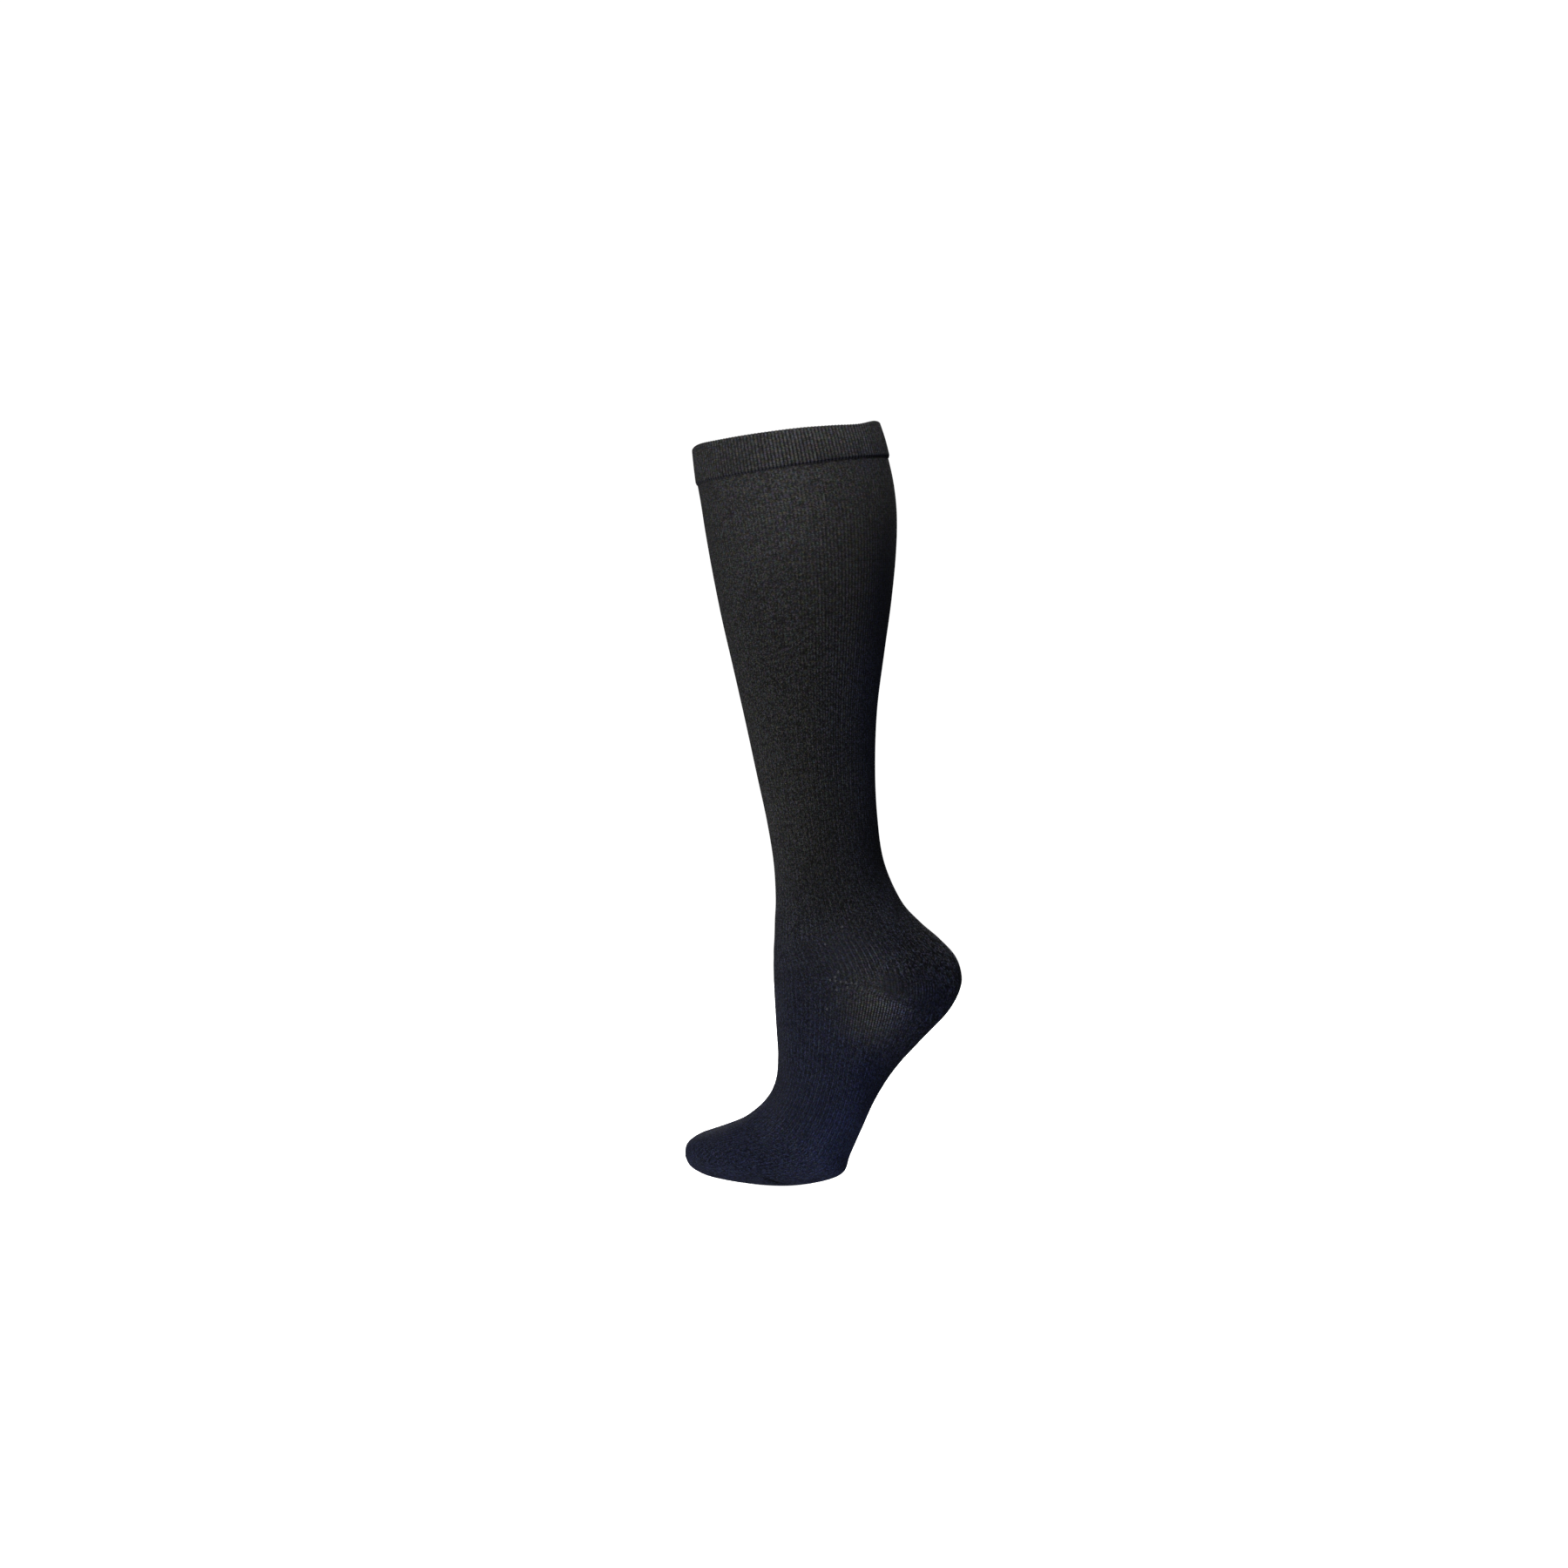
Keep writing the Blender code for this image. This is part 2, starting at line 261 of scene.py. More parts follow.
def creaseDepth(points):
    # how far all the creases together press in each point, in mm
    depth = np.zeros(points.shape[:2])
    for crease in creases:
        ends = [finePoints[int(place * finePerSection), int(share * columns)]
                for share, place in crease["line"]]
        for side in (1, -1):  # the same on both sides, as the foot bends both alike
            start, end = (point * (1, side, 1) for point in ends)
            way = end - start
            share = np.clip(np.sum((points - start) * way, axis=2) / np.sum(way * way), 0, 1)
            away = np.linalg.norm(points - start - share[..., None] * way, axis=2)
            taper = 1 - creaseTaper * (2 * share - 1) ** 2
            depth += crease["depth"] * taper * np.exp(-(away / crease["halfWidth"]) ** 2)
    return depth


def waleRidge(phase):
    # height across a wale, 1 on its crest and 0 in the valley to the next
    return (0.5 + 0.5 * np.cos(2 * math.pi * phase)) ** knit["crestPower"]


def oddWale(phase):
    # 1 on every second wale: the laid-in elastic yarn ties these down and lets those between stand out
    return 0.5 - 0.5 * np.cos(math.pi * phase)


# What the cloth's look follows over the stocking, painted light and shade among it. Each value has a base
# and soft spots in the side view,
# the same on both sides: (middle x, z), (half size x, z) in mm, turn in degrees, and how much it adds.
# Some also grow down the leg, from and to these depths in mm under the top edge and by this much.
zones = {
    "paintedLightAndThinness": {"base": 1.0, "spots": [      # how light: mostly painted light and shade, lighter on the upper calf, the band and the sole and darker down the back and in the ankle's hollow, and also lighter where the cloth is stretched thin round the heel
        ((0, -48), (50, 50), 0, 0.28), ((20, -5), (60, 34), 8, 0.32), ((18, -140), (55, 90), 0, -0.28),
        ((66, -95), (26, 60), 0, -0.45), ((66, -180), (30, 120), 0, -0.5),
        ((28, -250), (40, 150), 0, -0.38), ((62, -262), (30, 60), 0, -0.6),
        ((-10, -255), (12, 100), 8, 0.2), ((50, -328), (34, 28), -30, 0.45),
        ((56, -355), (34, 25), -25, 0.85), ((66, -353), (18, 9), -22, 0.75),
        ((84, -335), (34, 42), 0, -0.38), ((82, -344), (14, 11), 0, 0.3),
        ((75, -300), (26, 26), 0, -0.15), ((-8, -385), (16, 70), 0, 0.5),
        ((36, -445), (46, 36), 14, 1.05), ((26, -18), (40, 28), 0, -0.26), ((28, -48), (30, 22), 0, -0.1),
        ((-8, -155), (22, 76), 15, -0.14), ((-20, -110), (22, 30), 15, -0.12),
        ((-2, -200), (24, 30), 15, -0.12), ((38, -155), (25, 52), 0, 0.15),
        ((16, -275), (28, 28), 0, -0.1), ((28, -311), (22, 22), 0, 0.24),
        ((74, -314), (36, 18), 0, -0.26), ((8, -360), (20, 42), 0, -0.22),
        ((50, -369), (28, 16), -10, 0.34), ((44, -426), (22, 38), 14, 0.78),
        ((32, -336), (14, 30), -10, 0.14), ((56, -314), (14, 12), 0, -0.12),
        ((24, -386), (18, 16), 0, -0.13), ((-26, -436), (22, 16), 0, -0.1),
        ((-4, -452), (20, 10), 0, 0.1), ((63, -284), (12, 24), -25, 0.15),
        ((104, -335), (12, 20), 0, 0.2),
    ]},
    "navy": {"base": 0.0, "down": (240, 440, 0.9), "spots": [     # how blue: the navy dye of ankle and foot, and a blue tint painted into the shade down the back of the leg and heel
        ((66, -180), (32, 160), 0, 1.1), ((48, -445), (40, 60), 30, 0.25), ((98, -350), (30, 30), 0, 0.3),
        ((50, -350), (36, 40), 0, -0.4), ((-8, -385), (16, 60), 0, -0.2),
        ((38, -180), (28, 115), 0, 0.28), ((46, -262), (24, 46), 0, 0.2), ((64, -95), (16, 40), 0, 0.25),
        ((52, -16), (18, 22), 0, 0.15), ((52, -366), (26, 22), -15, -0.2),
        ((-48, -440), (22, 24), 0, -0.18), ((52, -402), (18, 30), 0, 0.25),
        ((-10, -418), (60, 66), 0, -0.22),
    ]},
    "ribbed": {"base": 0.30, "spots": [   # how clearly its wales show, in their relief and in the shade painted into their valleys
        ((42, -130), (50, 150), 0, 0.9), ((20, -410), (70, 60), 0, 0.4), ((50, -326), (22, 24), -30, 0.3),
        ((56, -365), (40, 28), -20, 0.35), ((84, -343), (14, 12), 0, 1.3),
        ((66, -341), (13, 12), 0, -1.2), ((-4, -54), (62, 46), 0, 0.35), ((8, -10), (48, 26), 8, 0.2),
    ]},
    "mottled": {"base": 1.0, "down": (60, 160, 0.5), "spots": [   # how much its stitches differ
        ((86, -318), (36, 34), 0, 0.6), ((84, -344), (18, 15), 0, -0.8), ((54, -130), (40, 150), 0, -0.4),
        ((14, -345), (44, 60), 0, -0.35), ((10, -420), (80, 70), 0, -0.7),
        ((65, -340), (14, 12), 0, -1.2), ((42, -322), (34, 30), 0, -0.7),
        ((50, -360), (38, 28), -20, -0.7), ((-2, -442), (44, 28), 14, 0.22),
    ]},
    "paired": {"base": 0.0, "down": (110, 230, 1.0), "spots": [   # how deep every second wale lies, and how much shade is painted on it
        ((56, -355), (40, 26), -20, -1.2), ((92, -340), (26, 36), 0, -0.8),
        ((52, -322), (26, 22), -40, 0.6), ((0, -445), (70, 40), 14, -0.35),
    ]},
    "openwork": {"base": 0.0, "spots": [  # how far the stitches are drawn apart to a net
        ((56, -355), (26, 17), -20, 1.0), ((68, -353), (18, 8), -22, 0.7),
        ((40, -362), (24, 18), -20, 0.4), ((52, -325), (24, 14), -50, 0.55),
    ]},
}


def sideSpot(points, middle, halfSize, turnDegrees):
    # 1 in the middle of an ellipse in the side view, and 0 from its edge on
    x, z = points[..., 0] - middle[0], points[..., 2] - middle[1]
    turn = math.radians(turnDegrees)
    across = x * math.cos(turn) + z * math.sin(turn)
    up = -x * math.sin(turn) + z * math.cos(turn)
    return 1 - softStep(np.sqrt((across / halfSize[0]) ** 2 + (up / halfSize[1]) ** 2), 0.0, 1.0)


def clothAttributes(points, shade):
    # what the materials read at each point; shade is the painted shade of seams' grooves and of creases
    values = {}
    for key, zone in zones.items():
        spots = sum(amount * sideSpot(points, *spot) for *spot, amount in zone["spots"])
        values[key] = zone["base"] + spots
        if "down" in zone:
            start, end, amount = zone["down"]
            values[key] += softStep(-points[..., 2], start, end) * amount
    # the painted shade of seams and creases darkens it further
    values["paintedLightAndThinness"] *= 1 - shade
    return values


sharpAngle = math.radians(62)  # rims sharper than this show as edges


def addObject(name, data):
    thing = bpy.data.objects.new(name, data)
    bpy.context.scene.collection.objects.link(thing)
    return thing


def buildMesh(name, points, faces, corners, attributes):
    mesh = bpy.data.meshes.new(name)
    mesh.from_pydata((points * mm).tolist(), [], faces)
    layer = mesh.uv_layers.new(name="Knit")
    layer.data.foreach_set("uv", np.asarray(corners, np.float32).ravel())
    for key, values in attributes.items():
        data = mesh.attributes.new(key, "FLOAT", "POINT").data
        data.foreach_set("value", np.asarray(values, np.float32).ravel())
    mesh.validate()
    mesh.shade_smooth()
    mesh.set_sharp_from_angle(angle=sharpAngle)
    print(name, "built:", len(faces), "faces")
    return addObject(name, mesh)


def knitShell(name, rows, covers, wall, ridge, phaseOf=None):
    # A wall of knit on the form: fine ridges outside, a coarser hidden side, and closed rims between them.
    # rows are places down the form, covers says which cells of the grid belong, ridge is how far the wales
    # stand out, in mm, by row, and phaseOf numbers the wales where they don't run as in waleNumbers.
    step, acrossStep = knit["innerRowStep"], knit["columnsPerWale"]
    count = len(rows) - 1
    places, groove = layOut(rows)
    points, normals = formAt(places)
    courses = np.interp(np.hstack([places, places[:, :1]]), finePlaces, fineCourses)
    isBelow = (rows >= heelEndPlace)[:, None]  # under the heel's seam line, where other wales begin
    if phaseOf is None:
        phase = waleNumbers(places, (rows > heelEndPlace)[:, None])
        topPhase = waleNumbers(places, isBelow)[:-1]
        lowPhase = waleNumbers(places[1:], isBelow[:-1])
    else:
        phase = phaseOf(rows)
        topPhase, lowPhase = phase[:-1], phase[1:]
    heights = np.broadcast_to(ridge, count + 1)[:, None]
    folded = creaseDepth(points)
    # painted shade in the heel seam's groove and in the creases
    attributes = clothAttributes(points, suture["shade"] * groove + creaseShade * folded)
    relief = np.clip(attributes["ribbed"], *knit["reliefSpan"])
    ridges = waleRidge(phase[:, :-1]) - 0.5
    ridges -= knit["laidBack"] * attributes["paired"] * oddWale(phase[:, :-1])
    lift = heights * relief * ridges - folded - suture["grooveDepth"] * groove
    outer = points + normals * lift[..., None]
    inner = (points - normals * wall)[::step, ::acrossStep]
    coarseColumns = columns // acrossStep
    hasTip = rows[-1] == tipPlace
    faces, corners = [], []

    def outerAt(row, column):
        return row * columns + (0 if hasTip and row == count else column % columns)

    def innerAt(row, column):
        ringAt = 0 if hasTip and row == count else (column // acrossStep) % coarseColumns
        return outer.shape[0] * columns + (row // step) * coarseColumns + ringAt

    def cornerAt(row, column):
        return phase[row, column], courses[row, column]

    def addFace(ring, ringCorners):
        # at the tip of the toe a ring is one point, so a face there has fewer corners or is left out
        kept = [number for number, point in enumerate(ring) if point != ring[number - 1]]
        if len(kept) > 2:
            faces.append([ring[number] for number in kept])
            corners.extend(ringCorners[number] for number in kept)

    for row in range(count):
        for column in np.flatnonzero(covers[row]).tolist():
            ring = ((row, column), (row, column + 1), (row + 1, column + 1), (row + 1, column))
            addFace([outerAt(*at) for at in ring],
                    [(topPhase[row, column], courses[row, column]),
                     (topPhase[row, column + 1], courses[row, column + 1]),
                     (lowPhase[row, column + 1], courses[row + 1, column + 1]),
                     (lowPhase[row, column], courses[row + 1, column])])
    coarse = covers[::step, ::acrossStep]
    for row, column in zip(*(axis.tolist() for axis in np.nonzero(coarse))):
        top, low = row * step, (row + 1) * step
        left, right = column * acrossStep, (column + 1) * acrossStep
        rims = []
        if row == 0 or not coarse[row - 1, column]:
            rims.append([(top, at) for at in range(right, left - 1, -1)] + [(top, left), (top, right)])
        if row == len(coarse) - 1 or not coarse[row + 1, column]:
            rims.append([(low, at) for at in range(left, right + 1)] + [(low, right), (low, left)])
        if not coarse[row, column - 1]:
            rims.append([(at, left) for at in range(top, low + 1)] + [(low, left), (top, left)])
        if not coarse[row, (column + 1) % coarseColumns]:
            rims.append([(at, right) for at in range(low, top - 1, -1)] + [(top, right), (low, right)])
        hidden = ((low, left), (low, right), (top, right), (top, left))
        addFace([innerAt(*at) for at in hidden], [cornerAt(*at) for at in hidden])
        for rim in rims:
            addFace([outerAt(*at) for at in rim[:-2]] + [innerAt(*at) for at in rim[-2:]],
                    [cornerAt(*at) for at in rim])
    allPoints = np.concatenate([outer.reshape(-1, 3), inner.reshape(-1, 3)])
    used = np.unique(np.concatenate([np.array(face) for face in faces]))
    renumber = np.zeros(len(allPoints), int)
    renumber[used] = np.arange(len(used))
    faces = [renumber[face].tolist() for face in faces]
    both = {key: np.concatenate([values.ravel(), values[::step, ::acrossStep].ravel()])[used]
            for key, values in attributes.items()}
    return buildMesh(name, allPoints[used], faces, corners, both)


def heelCovers(count):
    # the back part of a round, which the heel pocket takes up
    covers = np.zeros((count, columns), bool)
    covers[:, heelColumn:columns - heelColumn] = True
    return covers


# How many rows each piece has, which the coarser hidden side divides evenly, and where its wales
# are flatter: how far they stand out, in mm, at these places of the form
legRows = {"count": 132, "ridgeAt": (0, 6, 12), "ridge": (0.16, 0.20, knit["ridge"])}
heelRows = {"count": 72}
footRows = {"tongue": 72, "round": 96}
toeRows = {"count": 84, "crowding": 0.9,  # under 1, so the rows lie closer together towards the tip
           "ridgeAt": (toePlace, 28, tipPlace), "ridge": (knit["ridge"], 0.15, 0.0)}


def buildLeg():
    rows = np.linspace(0, anklePlace, legRows["count"] + 1)
    ridge = np.interp(rows, legRows["ridgeAt"], legRows["ridge"])
    return knitShell("legKnit", rows, np.ones((legRows["count"], columns), bool), knit["wall"], ridge)


def buildHeel():
    rows = np.linspace(anklePlace, heelEndPlace, heelRows["count"] + 1)
    return knitShell("heelKnit", rows, heelCovers(heelRows["count"]), knit["splicedWall"], knit["ridge"])


def buildFoot():
    # a tongue over the instep beside the heel pocket, and the full round from there to the toe cap
    rows = np.concatenate([np.linspace(anklePlace, heelEndPlace, footRows["tongue"] + 1),
                           np.linspace(heelEndPlace, toePlace, footRows["round"] + 1)[1:]])
    covers = np.concatenate([~heelCovers(footRows["tongue"]), np.ones((footRows["round"], columns), bool)])
    return knitShell("footKnit", rows, covers, knit["wall"], knit["ridge"])


def toePhase(rows):
    # the wales of instep and sole run on side by side and meet along a line at each side of the toes
    rounds = np.interp(rows, finePlaces, fineRounds)
    share = np.arange(columns + 1) / columns
    narrowing = rounds[:, None] / rounds[0]
    fromTop = share * narrowing
    fromSole = 0.5 + (share - 0.5) * narrowing
    fromEnd = 1 + (share - 1) * narrowing
    return knit["wales"] * np.where(share < 0.25, fromTop, np.where(share > 0.75, fromEnd, fromSole))


def buildToe():
    shares = np.linspace(0, 1, toeRows["count"] + 1) ** toeRows["crowding"]
    rows = toePlace + (tipPlace - toePlace) * shares
    ridge = np.interp(rows, toeRows["ridgeAt"], toeRows["ridge"])
    covers = np.ones((toeRows["count"], columns), bool)
    return knitShell("toeKnit", rows, covers, knit["splicedWall"], ridge, toePhase)


leg = buildLeg()
heel = buildHeel()
foot = buildFoot()
toe = buildToe()

welt = {
    "wall": 2.4,             # mm, two layers of rib
    "ridge": 0.42,           # mm that the ribs stand out
    # shares of it by row from the fold's inner end, and by row from the lower edge, and inside
    "foldRidge": ((0, 4, 10), (0.6, 0.8, 1.0)),
    "edgeRidge": ((-6, 2), (1.0, 0.4)), "insideRidge": 0.3,
    "outsideRows": 28, "foldRows": 9, "insideRows": 10, "underRows": 5,
    "underRadius": 0.9,      # mm, the lower edge rolls in towards the linking seam
    "seamShade": 0.75,       # painted shade in the groove under the band's lower edge, where the linking seam pulls it in, at the back
    "seamShadeInFront": 0.2,
    "frontX": -40, "backX": 50,  # mm, from the one shade to the other
    "shadeRows": (-5, 1),    # rows from the lower edge, over which the shade comes in
    "ribsLit": 0.6,          # how far the ribs' crests stay out of it
    # how far the calf pushes the top edge up, evenly spaced from front to back, in mm
    "edgeRises": (0.6, 2.0, 1.9, 1.8, 1.6, 1.2, 0.3, -0.4, 1.2, 1.0),
}


def tubeFaces(around, along):
    # faces and map corners of a grid that closes up both ways; around and along are its lines on the map
    faces, corners = [], []
    width, count = len(around) - 1, len(along) - 1
    for row in range(count):
        here, after = row * width, (row + 1) % count * width
        for column in range(width):
            right = (column + 1) % width
            faces.append([here + column, here + right, after + right, after + column])
            corners += [(around[column], along[row]), (around[column + 1], along[row]),
                        (around[column + 1], along[row + 1]), (around[column], along[row + 1])]
    return faces, corners


waleShares = np.arange(columns + 1) / knit["columnsPerWale"]


def buildBand():
    # the rib turned double: over the fold, down the outside, under the lower edge and back up inside
    places = np.linspace(0, len(bandForm) - 1, welt["outsideRows"] + 1)
    share = np.arange(columns) / columns
    rings = np.array([ringPoints(section, share)[0] for section in smoothRows(bandForm, places)])
    down = unit(rings[1] - rings[0])
    inwards = unit(np.cross(np.roll(rings[0], -1, axis=0) - np.roll(rings[0], 1, axis=0), down))
    inwards *= np.sign(np.sum(inwards * (rings[0].mean(axis=0) - rings[0])))
    rises = smoothRows(np.array(welt["edgeRises"])[:, None],
                       2 * np.minimum(share, 1 - share) * (len(welt["edgeRises"]) - 1))
    top = rings[0] - down * rises
    radius, roll = welt["wall"] / 2, welt["underRadius"]
    fold = [top + down * radius * (1 - math.sin(turn)) + inwards * radius * (1 + math.cos(turn))
            for turn in np.linspace(0, math.pi, welt["foldRows"])]
    lowDown = unit(rings[-1] - rings[-2])
    outside = [*rings[2:-1], rings[-1] - lowDown * roll]  # the fold takes up the first two rings
    under = [rings[-1] - lowDown * roll * (1 - math.sin(turn)) + inwards * roll * (1 - math.cos(turn))
             for turn in np.linspace(0, math.pi / 2, welt["underRows"] + 1)[1:]]
    insideTop = top + down * radius + inwards * welt["wall"]
    insideLow = rings[-1] + inwards * welt["wall"]
    bulge = 2 * (rings[len(rings) // 2] + inwards * welt["wall"]) - (insideTop + insideLow) / 2
    inside = [insideTop * (1 - at) ** 2 + bulge * 2 * at * (1 - at) + insideLow * at ** 2
              for at in np.linspace(1, 0, welt["insideRows"] + 1)[:-1]]
    grid = np.array(fold + outside + under + inside)
    count = len(grid)
    normals = gridNormals(grid, np.roll(grid, -1, axis=0) - np.roll(grid, 1, axis=0))
    half = welt["foldRows"] + welt["outsideRows"] // 2  # half way down the outside
    normals *= np.sign(np.sum(normals[half] * (grid[half] - grid[half].mean(axis=0))))
    phase = waleShares[:-1]
    courses = lengthsAlong(grid[:, quarter]) / knit["courseHeight"]
    lowEdge = welt["foldRows"] + welt["outsideRows"]
    row = np.arange(count)[:, None]
    changes = [*welt["foldRidge"][0], *(lowEdge + at for at in welt["edgeRidge"][0]), count]
    shares = [*welt["foldRidge"][1], *welt["edgeRidge"][1], welt["insideRidge"]]
    lift = welt["ridge"] * np.interp(row, changes, shares) * (waleRidge(phase) - 0.5)
    # painted shade in the groove under the band's rolled lower edge, heaviest at the back and lighter on
    # the ribs' crests
    shadeTowardsBack = softStep(grid[..., 0], welt["frontX"], welt["backX"])
    shade = welt["seamShadeInFront"] + (welt["seamShade"] - welt["seamShadeInFront"]) * shadeTowardsBack
    shade = shade * softStep(row - lowEdge, *welt["shadeRows"]) * (row < count - welt["insideRows"])
    attributes = clothAttributes(grid, shade * (1 - welt["ribsLit"] * waleRidge(phase)))
    # the painted shade there is tinted blue as well
    attributes["navy"] += shade
    knitted = grid + normals * lift[..., None]
    faces, corners = tubeFaces(waleShares, [*courses, courses[-1] + 1])
    piece = buildMesh("bandKnit", knitted.reshape(-1, 3), faces, corners, attributes)
    return piece, rings[-1], inwards


band, bandLow, bandIn = buildBand()

chain = {
    "radius": 0.55,          # mm
    "sides": 8,
    "sunk": 0.25,            # mm below the cloth on both sides of it
    "loopSwell": 0.60,       # share by which each linked loop is thicker than the yarn between
    "zigzag": 0.16,          # mm that the loops lie above and below the line by turns
}


def buildChain():
    # the chain of loops that links the band to the leg, one loop to a wale
    middle = (bandLow + finePoints[0]) / 2 + bandIn * chain["sunk"]
    forward = unit(np.roll(middle, -1, axis=0) - np.roll(middle, 1, axis=0))
    up = np.cross(forward, bandIn)
    phase = 2 * math.pi * waleShares[:-1]
    radius = chain["radius"] * (1 - chain["loopSwell"] * (0.5 - 0.5 * np.cos(phase)))[:, None]
    middle = middle + up * (chain["zigzag"] * np.sin(phase))[:, None]
    rings = []
    for turn in np.arange(chain["sides"]) * 2 * math.pi / chain["sides"]:
        rings.append(middle + (up * math.cos(turn) + bandIn * math.sin(turn)) * radius)
    faces, corners = tubeFaces(waleShares, np.arange(chain["sides"] + 1) / chain["sides"])
    return buildMesh("linkingChain", np.concatenate(rings), faces, corners, {})


linkingChain = buildChain()

goreLoops = {
    "ringRadius": 0.42,      # mm, from the middle of a loop to the middle of its yarn
    "yarnRadius": 0.20,
    "ringSteps": 10, "yarnSteps": 6,
    "drawnOut": 1.25,        # how much longer than wide a loop is
    "raised": 0.12,          # mm from the cloth to the middle of its yarn
    "rowStart": 26.9, "rowPitch": 3.25, "rowCount": 6,  # mm of x along the seam line
    # single loops beside the line: x and z in mm
    "singles": ((32.1, -331.5), (30.0, -334.9), (31.2, -342.9), (37.6, -341.1), (24.0, -314.4),
                (34.4, -303.9), (25.2, -354.1)),
}


def buildGoreLoops():
    # the loops that are held where the heel pocket starts, drawn out along its seam line on both sides
    points, normals = formAt(layOut(finePlaces)[0])
    seamRow = heelEndPlace * finePerSection
    nearSide = slice(columns // 2, columns)
    spots = []
    for number in range(goreLoops["rowCount"]):
        x = goreLoops["rowStart"] + goreLoops["rowPitch"] * number
        column = columns // 2 + int(np.argmin(np.abs(points[seamRow, nearSide, 0] - x)))
        spots.append((seamRow, column))
    for x, z in goreLoops["singles"]:
        away = np.hypot(points[:, nearSide, 0] - x, points[:, nearSide, 2] - z)
        row, column = np.unravel_index(int(np.argmin(away)), away.shape)
        spots.append((int(row), columns // 2 + int(column)))
    turn = 2 * math.pi * np.arange(goreLoops["ringSteps"])[:, None] / goreLoops["ringSteps"]
    roll = 2 * math.pi * np.arange(goreLoops["yarnSteps"])[:, None, None] / goreLoops["yarnSteps"]
    away = goreLoops["ringRadius"] + goreLoops["yarnRadius"] * np.cos(roll)
    lift = goreLoops["raised"] + goreLoops["yarnRadius"] * np.sin(roll)
    ringFaces, ringCorners = tubeFaces(range(len(turn) + 1), range(len(roll) + 1))
    allPoints, faces, corners = [], [], []
    for row, column in spots:
        for side in (1, -1):
            middle = points[row, column] * (1, side, 1)
            normal = normals[row, column] * (1, side, 1)
            down = unit(np.cross(normal, (1, 0, 0)))
            across = np.cross(down, normal)
            out = across * np.cos(turn) + down * goreLoops["drawnOut"] * np.sin(turn)
            faces += [[len(allPoints) + point for point in face] for face in ringFaces]
            corners += ringCorners
            allPoints.extend((middle + out * away + normal * lift).reshape(-1, 3))
    return buildMesh("heldLoops", np.array(allPoints), faces, corners, {})


heldLoops = buildGoreLoops()


def linearColour(hexColour):
    # an sRGB hex value as the linear colour that shaders take
    shares = [int(hexColour[start:start + 2], 16) / 255 for start in (1, 3, 5)]
    linear = [share / 12.92 if share <= 0.04045 else ((share + 0.055) / 1.055) ** 2.4 for share in shares]
    return (*linear, 1.0)


def addNode(tree, kind, inputs=(), **settings):
    # a node with its settings; each input is a value, a socket, or a node whose first output it takes
    node = tree.nodes.new("ShaderNode" + kind)
    for key, value in settings.items():
        setattr(node, key, value)
    for key, value in (inputs if isinstance(inputs, dict) else dict(enumerate(inputs))).items():
        if isinstance(value, bpy.types.Node):
            value = value.outputs[0]
        if isinstance(value, bpy.types.NodeSocket):
            tree.links.new(value, node.inputs[key])
        else:
            node.inputs[key].default_value = value
    return node


def newMaterial(name, look):
    material = bpy.data.materials.new(name)
    material.use_nodes = True
    shader = material.node_tree.nodes["Principled BSDF"]
    shader.inputs["Roughness"].default_value = look["roughness"]
    shader.inputs["IOR"].default_value = look["ior"]
    shader.inputs["Specular IOR Level"].default_value = look["specular"]
    shader.inputs["Sheen Weight"].default_value = look["sheen"]
    shader.inputs["Sheen Roughness"].default_value = look["sheenRoughness"]
    return material, shader, functools.partial(addNode, material.node_tree)


def finishMaterial(material, shader, add, colour, height, look):
    bump = add("Bump", {"Height": height, "Strength": look["bump"], "Distance": look["bumpDepth"] * mm})
    material.node_tree.links.new(colour, shader.inputs["Base Color"])
    material.node_tree.links.new(bump.outputs[0], shader.inputs["Normal"])
    return material


